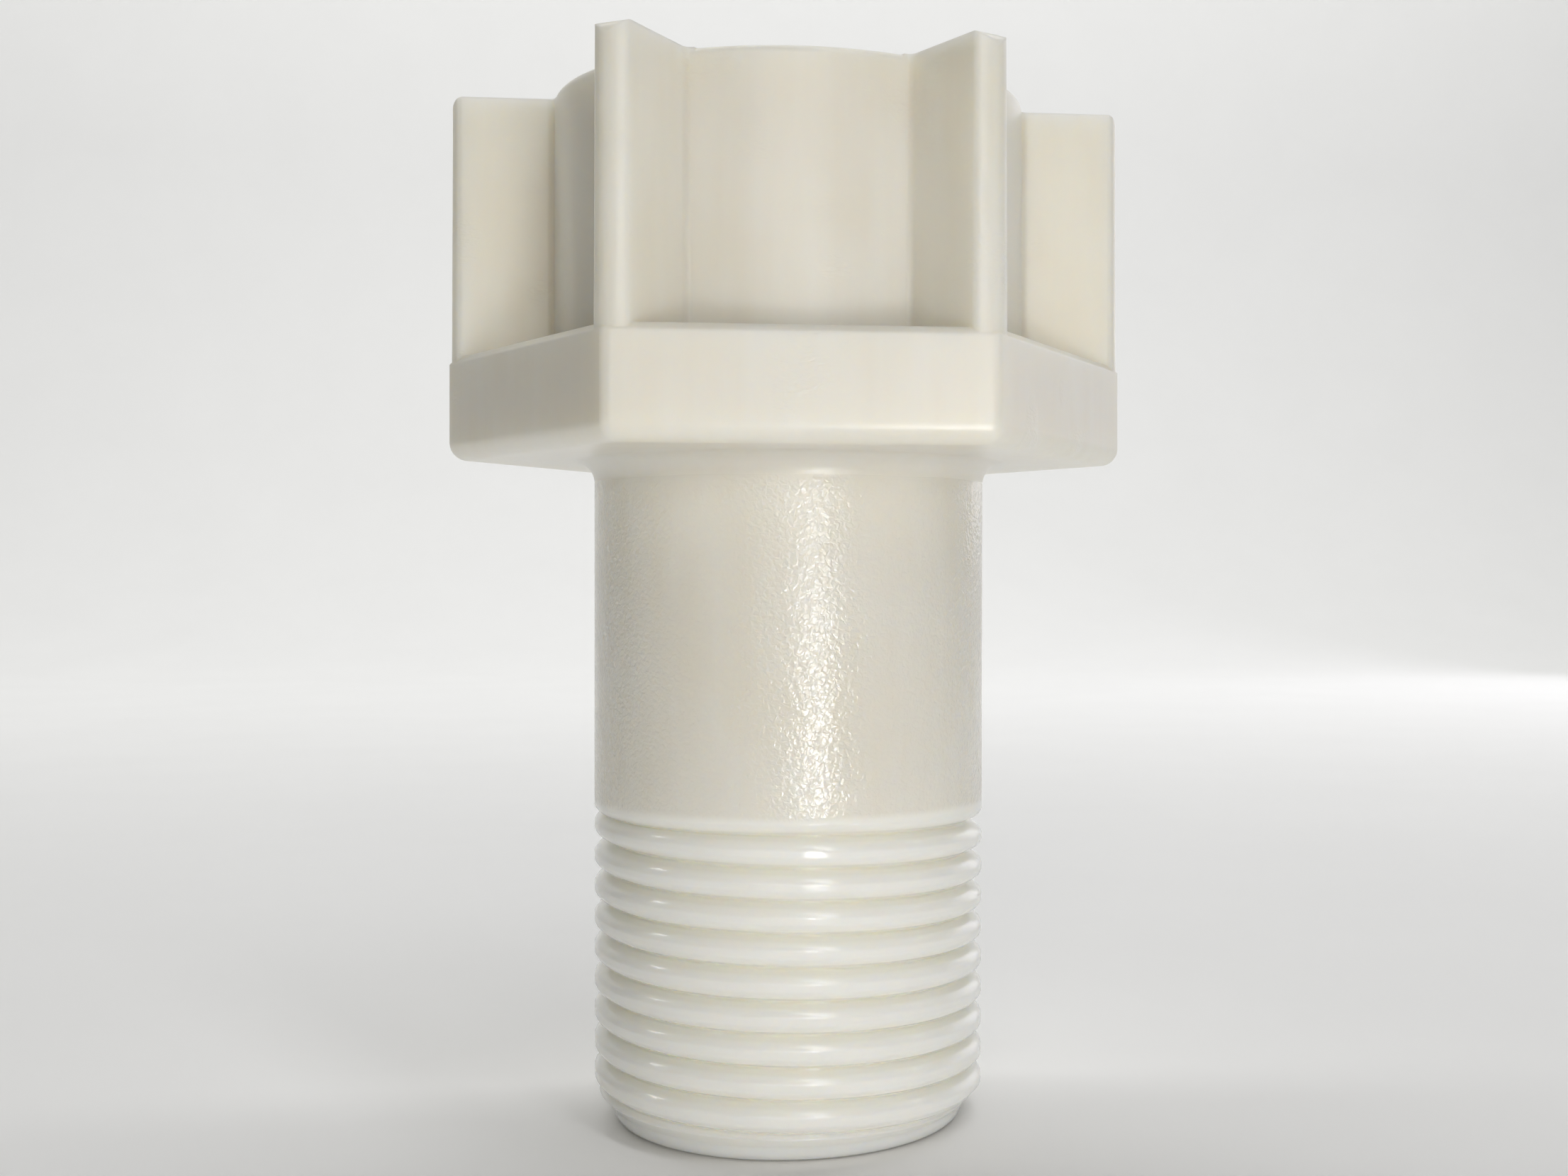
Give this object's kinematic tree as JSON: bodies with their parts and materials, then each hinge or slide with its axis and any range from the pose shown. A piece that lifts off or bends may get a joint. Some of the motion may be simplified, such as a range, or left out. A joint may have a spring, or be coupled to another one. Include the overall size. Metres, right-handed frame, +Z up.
{
  "type": "thru hull fitting",
  "caption": "Straight plastic drain fitting that passes through a hull or tank wall, with a hexagonal flange, a ribbed female hose socket above it and a male threaded tail below",
  "frame": {"origin": "on the fitting's axis, in the plane of the tail end", "axes": "+Z runs up the axis from the threaded tail to the socket's mouth; two flats of the hexagonal flange face +Y and -Y, and two of its corners lie on the X axis; front is -Y"},
  "size_m": [0.0468, 0.0406, 0.0701],
  "materials": {
    "nylon": "milky, slightly translucent moulded nylon",
    "rubber": "matt black rubber"
  },
  "bodies": {
    "fitting": {"fitting_body": "nylon"},
    "washer": {"socket_washer": "rubber"}
  },
  "joints": [
    {"name": "washer_lift", "type": "slide", "parent": "fitting", "child": "washer", "axis": [0, 0, 1], "range_m": [0, 0.022]}
  ]
}
